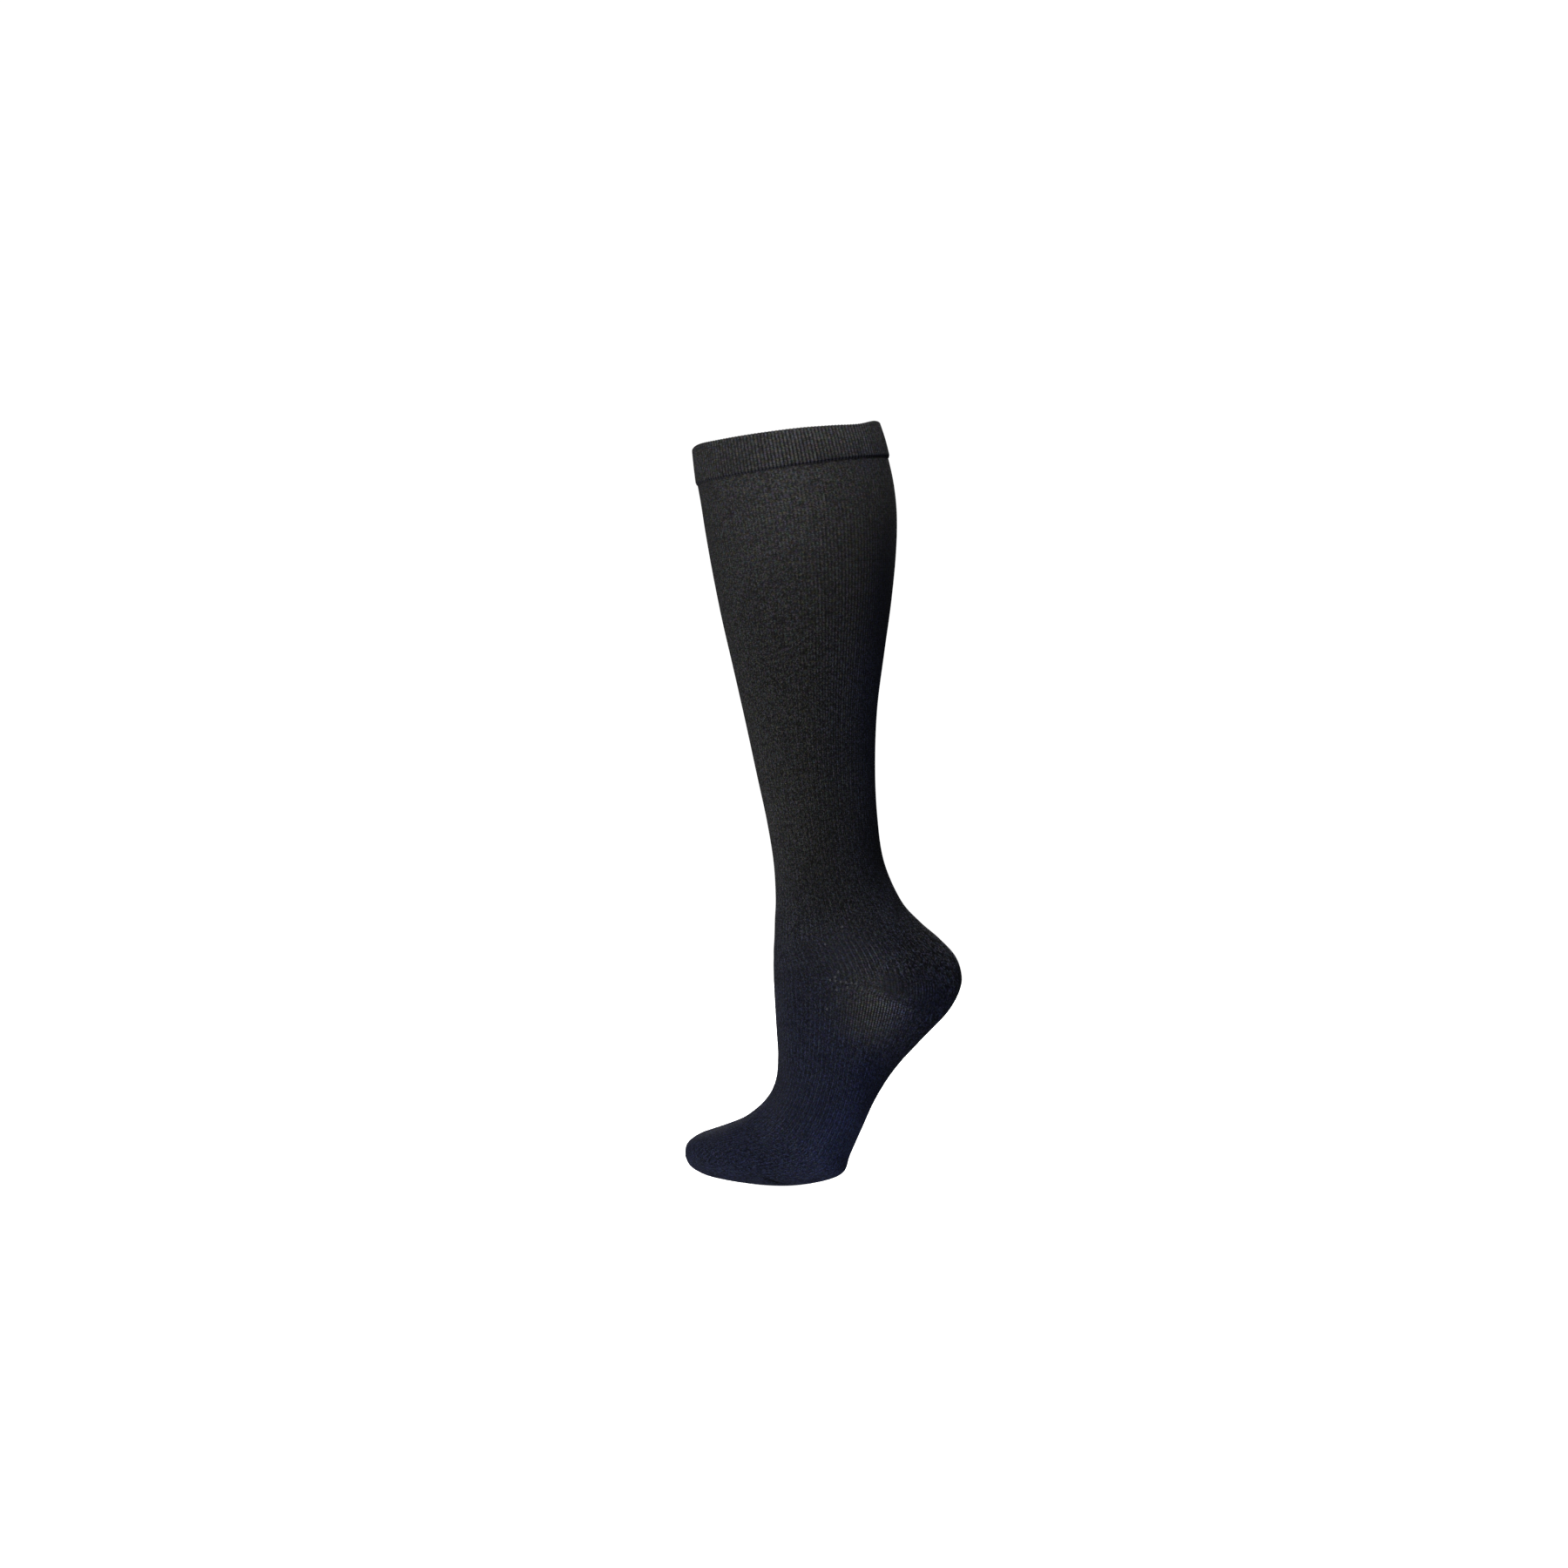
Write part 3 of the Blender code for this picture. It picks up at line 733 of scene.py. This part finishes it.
def knitMaterial(name, look):
    # the map counts stitches, wales across and courses down, so a size in mm is divided by a stitch's
    material, shader, add = newMaterial(name, look)
    uv = add("UVMap", uv_map="Knit")
    axes = add("SeparateXYZ", [uv])
    wale, course = axes.outputs[0], axes.outputs[1]
    zone = {key: add("Attribute", attribute_name=key).outputs["Fac"] for key in zones}

    # a stitch is a V: its two legs slant up from the middle of the wale to the valleys beside it
    fromCrest = add("Math", [wale, 0.5], operation="PINGPONG")
    crest = add("Math", [fromCrest, -2.0, 1.0], operation="MULTIPLY_ADD")
    slanted = add("Math", [fromCrest, look["slant"], course], operation="MULTIPLY_ADD")
    legs = add("Math", [slanted, 0.5], operation="PINGPONG")
    legs = add("Math", [legs, 2.0], operation="MULTIPLY")
    rounded = add("Math", [crest, look["crestPower"]], operation="POWER")
    height = add("Math", [legs, look["legDepth"], 1 - look["legDepth"]], operation="MULTIPLY_ADD")
    height = add("Math", [rounded, height], operation="MULTIPLY")

    # the yarn catches the light differently in each stitch, in streaks down the wales and in each ply
    cell = add("CombineXYZ", [wale, slanted])
    cell = add("VectorMath", [cell, (*look["grain"], 1)], operation="MULTIPLY")
    cell = add("VectorMath", [cell], operation="FLOOR")
    stitch = add("TexWhiteNoise", {"Vector": cell}, noise_dimensions="2D")
    streakScale = (knit["walePitch"] / look["streak"][0], knit["courseHeight"] / look["streak"][1], 1)
    streakAt = add("Mapping", {"Vector": uv, "Scale": streakScale})
    streak = add("TexNoise", {"Vector": streakAt, "Scale": 1.0, "Detail": look["streakDetail"]})
    plyScale = (knit["walePitch"] / look["ply"], knit["courseHeight"] / look["ply"], 1)
    plyAt = add("Mapping", {"Vector": uv, "Scale": plyScale, "Location": look["plyShift"]})
    ply = add("TexNoise", {"Vector": plyAt, "Scale": 1.0, "Detail": look["plyDetail"]})

    # the dye: charcoal or navy by place, with the navy also painted in as the blue tint of the shade, and
    # each ply of the yarn a little off it
    charcoal, navy = linearColour(look["charcoal"]), linearColour(look["navy"])
    dyed = add("Mix", {0: zone["navy"], 6: charcoal, 7: navy}, data_type="RGBA")
    spread = look["dyeSpread"]
    tint = add("VectorMath", [ply.outputs[1], spread, [1 - part / 2 for part in spread]],
               operation="MULTIPLY_ADD")
    colour = add("VectorMath", [dyed.outputs[2], tint], operation="MULTIPLY")

    # how light each spot is: its stitch, its streak, painted shade where the legs of a stitch part, in the
    # valleys between wales and on the deeper wale of each pair, the net's holes and threads, single bright
    # filaments, and the zone's painted light and shade
    contrast = look["stitchContrast"]
    off = add("Math", [stitch, contrast, -contrast / 2], operation="MULTIPLY_ADD")
    off = add("Math", [off, zone["mottled"]], operation="MULTIPLY")
    light = add("Math", [math.e, off], operation="POWER")
    streakLight = add("MapRange", {
        "Value": streak, "From Min": look["streakSpan"][0], "From Max": look["streakSpan"][1],
        "To Min": 1 - look["streakContrast"], "To Max": 1 + look["streakContrast"]})
    contrast = look["paintedLegShade"]
    legShading = add("Math", [legs, contrast, 1 - contrast / 2], operation="MULTIPLY_ADD")
    contrast = look["paintedValleyShade"]
    valley = add("Math", [rounded, contrast, -contrast * look["valleyMiddle"]], operation="MULTIPLY_ADD")
    valleyShading = add("Math", [valley, zone["ribbed"], 1.0], operation="MULTIPLY_ADD")
    odd = add("Math", [wale, 1.0], operation="PINGPONG")
    contrast = look["paintedPairShade"]
    odd = add("Math", [odd, -contrast, contrast / 2], operation="MULTIPLY_ADD")
    pairShading = add("Math", [odd, zone["paired"], 1.0], operation="MULTIPLY_ADD")
    threads = add("Math", [crest, look["netPower"]], operation="POWER")
    netLegs = add("Math", [legs, look["netLegs"], 1 - look["netLegs"]], operation="MULTIPLY_ADD")
    threads = add("Math", [threads, netLegs], operation="MULTIPLY")
    net = add("MapRange", {"Value": threads, "To Min": look["netHole"], "To Max": look["netThread"]})
    netLight = add("Mix", {0: zone["openwork"], 2: 1.0, 3: net})
    fleck = add("MapRange", {"Value": stitch.outputs[1], "From Min": 1 - look["fleckShare"],
                             "To Min": 1.0, "To Max": 1 + look["fleck"]})
    for factor in (streakLight, legShading, valleyShading, pairShading, netLight, fleck, zone["paintedLightAndThinness"]):
        light = add("Math", [light, factor], operation="MULTIPLY")
    light = add("Math", [light, look["leastLight"]], operation="MAXIMUM")
    lit = add("VectorMath", {0: colour, "Scale": light}, operation="SCALE")
    return finishMaterial(material, shader, add, lit.outputs[0], height, look)


# Plain jersey, knitted in the round from crimped nylon filament over a laid-in elastane thread. The crimp
# scatters light, so the cloth is matte and near black, with a soft speckle where single stitches catch it.
jerseyLook = {
    "charcoal": "#2f2f30", "navy": "#22273f",
    "dyeSpread": (1.1, 0.8, 1.8),  # how unevenly the plies took up the dye, in red, green and blue
    "slant": 0.9,                # rows that a leg of a stitch would climb across a whole wale
    "crestPower": 0.7, "legDepth": 0.5,  # the stitch's roundness, and how deep its two legs are parted
    "streak": (2.0, 8.0), "streakDetail": 2.0,  # mm across and down, where a needle's loops are larger
    "ply": 2.0, "plyDetail": 3.0,  # mm; a real ply is about 0.2 mm, too fine to show
    "plyShift": (31, 7, 0),      # so that plies and streaks don't share one noise
    "grain": (2.8, 2.0),         # filaments that catch the light apart, in each wale and each row
    # the valley, leg and pair settings are painted shade: in the valleys between wales, where a stitch's
    # legs part, and on every second wale
    "stitchContrast": 1.55, "paintedValleyShade": 1.0, "paintedLegShade": 0.4, "paintedPairShade": 0.5,
    "valleyMiddle": 0.55,        # height on the wale that the valleys' shade leaves as it is
    "streakContrast": 0.10, "streakSpan": (0.25, 0.75),  # most of the noise lies in this span
    "fleck": 0.3, "fleckShare": 0.1,  # how much lighter single filaments are, and how many are
    "netHole": 0.35, "netThread": 2.7,  # light in the holes and on the threads where the knit is a net
    "netPower": 1.6, "netLegs": 0.75,  # how thin the net's threads are, along the wales and across
    "leastLight": 0.05,
    "bump": 0.6, "bumpDepth": 0.3,   # mm
    "roughness": 0.85, "ior": 1.53,  # nylon; low specular, because light is lost between the filaments
    "specular": 0.08, "sheen": 0.02, "sheenRoughness": 0.5,
}
jersey = knitMaterial("nylonElastaneJersey", jerseyLook)
# the same yarns in 1 by 1 rib, turned double: every other wale sinks, with stronger shade painted into the
# furrows between the ribs
rib = knitMaterial("nylonRibWelt", {**jerseyLook, "paintedValleyShade": 3.6, "stitchContrast": 1.3})
# heel and toe, with a second nylon yarn spliced in: thicker, and as matte and speckled as the rest
spliced = knitMaterial("splicedNylonJersey", jerseyLook)


def yarnMaterial(name, look):
    # the map counts loops along the yarn
    material, shader, add = newMaterial(name, look)
    uv = add("UVMap", uv_map="Knit")
    twist = add("TexWave", {"Vector": uv, "Scale": look["twists"], "Distortion": look["twistWaver"]})
    dark, light, gap = (linearColour(look[key]) for key in ("dark", "light", "gap"))
    yarn = add("Mix", {0: twist, 6: dark, 7: light}, data_type="RGBA")
    # painted shade in the gaps between the loops
    fromLoop = add("Math", [add("SeparateXYZ", [uv]), 0.5], operation="PINGPONG")
    between = add("MapRange", {"Value": fromLoop, "From Min": look["gapFrom"], "From Max": look["gapTo"],
                               "To Max": look["gapShade"]})
    colour = add("Mix", {0: between, 6: yarn.outputs[2], 7: gap}, data_type="RGBA")
    return finishMaterial(material, shader, add, colour.outputs[2], twist, look)


# Two plies of nylon twisted together: slanting bands of light and dark, and painted shade in the gaps
# between the loops
yarnLook = {
    "dark": "#2a2a31", "light": "#404048", "gap": "#05050f",
    "twists": 2.0,                   # a real yarn turns about every 0.5 mm, drawn coarser here to show
    "twistWaver": 1.5,
    "gapFrom": 0.2, "gapTo": 0.45,   # loops from the middle of one, where the gap starts and is darkest
    "gapShade": 1.0,
    "bump": 0.5, "bumpDepth": 0.1,   # mm
    "roughness": 0.8, "ior": 1.53, "specular": 0.08, "sheen": 0.02, "sheenRoughness": 0.5,
}
linkingYarn = yarnMaterial("twistedNylonYarn", yarnLook)
# the same yarn drawn straight, with no gaps, painted paler as a painted highlight that keeps the loops
# bright in the seam groove's shade
heldYarn = yarnMaterial("drawnNylonYarn", {**yarnLook, "dark": "#5a5a60", "light": "#808088",
                                           "twists": 0.6, "gapShade": 0.0})
print("materials made:", len(bpy.data.materials))

# each piece, the CAD node that it stands for, its slot in the record, and its material
parts = [
    (band, "top_band", "black_knit", rib),
    (leg, "leg", "black_knit", jersey),
    (heel, "heel_pocket", "navy_black_knit", spliced),
    (foot, "foot", "navy_black_knit", jersey),
    (toe, "toe_cap", "navy_black_knit", spliced),
    (linkingChain, None, "black_knit", linkingYarn),
    (heldLoops, None, "navy_black_knit", heldYarn),
]
for piece, node, slot, material in parts:
    piece.data.materials.append(material)
    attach(piece, "root")
    if node:
        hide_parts(node)
print("pieces placed:", len(parts))


def cutOf(start, end, share=1.0):
    # width, length and area in metres of the knit between two places, off the leg and cut open
    first, last = start * finePerSection, end * finePerSection
    rounds = fineRounds[first:last + 1] * share * knit["relaxed"] * mm
    steps = np.diff(sideLengths[first:last + 1]) * mm
    return rounds.max(), steps.sum(), np.sum((rounds[1:] + rounds[:-1]) / 2 * steps)


def declareCloth(piece, width, length, area, withPieces=()):
    # prints the width, length and area of a piece's cloth, off the leg and cut open
    width, length, area = float(width), float(length), float(area)
    print(piece.name, "cut to", round(width, 3), "x", round(length, 3), "m, area", round(area, 4))


bandRound = ringPoints(bandForm[1], [0])[1] * knit["relaxed"] * mm
bandMiddles = (bandForm[:, 0:2] + bandForm[:, 2:4]) / 2  # x and z, half way from front to back
bandHeight = np.linalg.norm(bandMiddles[0] - bandMiddles[-1]) * mm
bandHeight += welt["wall"] * mm  # the fold takes up as much cloth as the rib is thick
declareCloth(band, bandRound, bandHeight, bandRound * bandHeight, [linkingChain])
declareCloth(leg, *cutOf(0, anklePlace))
heelShare = 1 - 2 * heelColumn / columns
pocketWidth = cutOf(anklePlace, heelEndPlace, heelShare)[0]
tongueLength, tongueArea = cutOf(anklePlace, heelEndPlace, 1 - heelShare)[1:]
roundWidth, roundLength, roundArea = cutOf(heelEndPlace, toePlace)
declareCloth(foot, roundWidth, tongueLength + roundLength, tongueArea + roundArea, [heldLoops])
# the pocket is longer at the back than at the side, so its area comes from its worn area
heelBack = finePoints[anklePlace * finePerSection:heelEndPlace * finePerSection + 1, columns // 2]
heelLength = lengthsAlong(heelBack)[-1] * mm
heelArea = sum(face.area for face in heel.data.polygons) / 2 * knit["relaxed"]
declareCloth(heel, pocketWidth, heelLength, heelArea)
declareCloth(toe, *cutOf(toePlace, tipPlace))

# Pale floor and walls
stage = {
    "floorReach": 8,         # m from the middle to each side
    "floorGap": 0.5,         # mm under the toes
    "floorColour": "#f3f3f3", "floorGlow": 1.0,
    "backdrop": 1.05,        # how bright the walls look
    "fill": 0.05,            # how much the walls light the stocking
}
floorLevel = cadBox[0][2] - stage["floorGap"] * mm
floorMesh = bpy.data.meshes.new("floor")
floorCorners = [(x * stage["floorReach"], y * stage["floorReach"], floorLevel)
                for x, y in ((-1, -1), (1, -1), (1, 1), (-1, 1))]
floorMesh.from_pydata(floorCorners, [], [(0, 1, 2, 3)])
floor = addObject("floor", floorMesh)
floorMaterial = bpy.data.materials.new("paleFloor")
floorMaterial.use_nodes = True
floorShader = floorMaterial.node_tree.nodes["Principled BSDF"]
floorShader.inputs["Base Color"].default_value = linearColour(stage["floorColour"])
floorShader.inputs["Emission Color"].default_value = linearColour("#ffffff")
floorShader.inputs["Emission Strength"].default_value = stage["floorGlow"]
floorMesh.materials.append(floorMaterial)
floor.visible_diffuse = False
floor.visible_glossy = False
floor.visible_shadow = False

world = bpy.data.worlds.new("studio")
bpy.context.scene.world = world
world.use_nodes = True
background = world.node_tree.nodes["Background"]
background.inputs["Color"].default_value = linearColour("#ffffff")
isCamera = addNode(world.node_tree, "LightPath").outputs["Is Camera Ray"]
strength = addNode(world.node_tree, "MapRange", {"Value": isCamera, "To Min": stage["fill"],
                                                 "To Max": stage["backdrop"]})
world.node_tree.links.new(strength.outputs[0], background.inputs["Strength"])

# softboxes round the stocking, aimed at its middle: degrees, metres and watts
softboxes = {
    "frontLeft": {"azimuth": -25, "elevation": 8, "distance": 3.0, "watts": 28.6},
    "lowLeft": {"azimuth": -90, "elevation": -45, "distance": 2.8, "watts": 14.5},
    "below": {"azimuth": 0, "elevation": -70, "distance": 2.8, "watts": 12.8},
    "behind": {"azimuth": 178, "elevation": 12, "distance": 3.0, "watts": 38.0},
}
softboxSize = 1.2            # m
middle = Vector((0.02, 0, -0.23))
# small lamps close above it, which light the front of the calf and the band's back
lamps = {
    "calfLamp": {"place": (-0.15, -0.25, 0.30), "aim": (0, 0, -0.06), "size": 0.2, "watts": 1.1},
    "bandLamp": {"place": (0.13, -0.08, 0.28), "aim": (0.06, 0, 0), "size": 0.12, "watts": 0.58},
}


def addLight(name, place, aim, size, watts):
    data = bpy.data.lights.new(name, "AREA")
    data.shape = "SQUARE"
    data.size = size
    data.energy = watts
    lamp = addObject(name, data)
    lamp.location = place
    lamp.rotation_euler = (aim - place).to_track_quat("-Z", "Y").to_euler()
    lamp.visible_camera = False


for name, box in softboxes.items():
    azimuth, elevation = math.radians(box["azimuth"]), math.radians(box["elevation"])
    way = Vector((math.sin(azimuth) * math.cos(elevation), -math.cos(azimuth) * math.cos(elevation),
                  math.sin(elevation)))
    addLight(name, middle + way * box["distance"], middle, softboxSize, box["watts"])
for name, lamp in lamps.items():
    addLight(name, Vector(lamp["place"]), Vector(lamp["aim"]), lamp["size"], lamp["watts"])

# level with the ankle, square to the side; metres, and the sensor in mm
sideView = {"place": (-0.00135, -3.0, -0.2163), "distance": 3.0, "seenWidth": 0.972, "sensor": 36}
camera = addObject("camera", bpy.data.cameras.new("camera"))
camera.location = sideView["place"]
camera.rotation_euler = (math.radians(90), 0, 0)
camera.data.sensor_width = sideView["sensor"]
camera.data.lens = sideView["sensor"] * sideView["distance"] / sideView["seenWidth"]
bpy.context.scene.camera = camera
bpy.context.scene.view_settings.view_transform = "Standard"
print("stage, lights and camera set:", len(softboxes) + len(lamps), "lights")
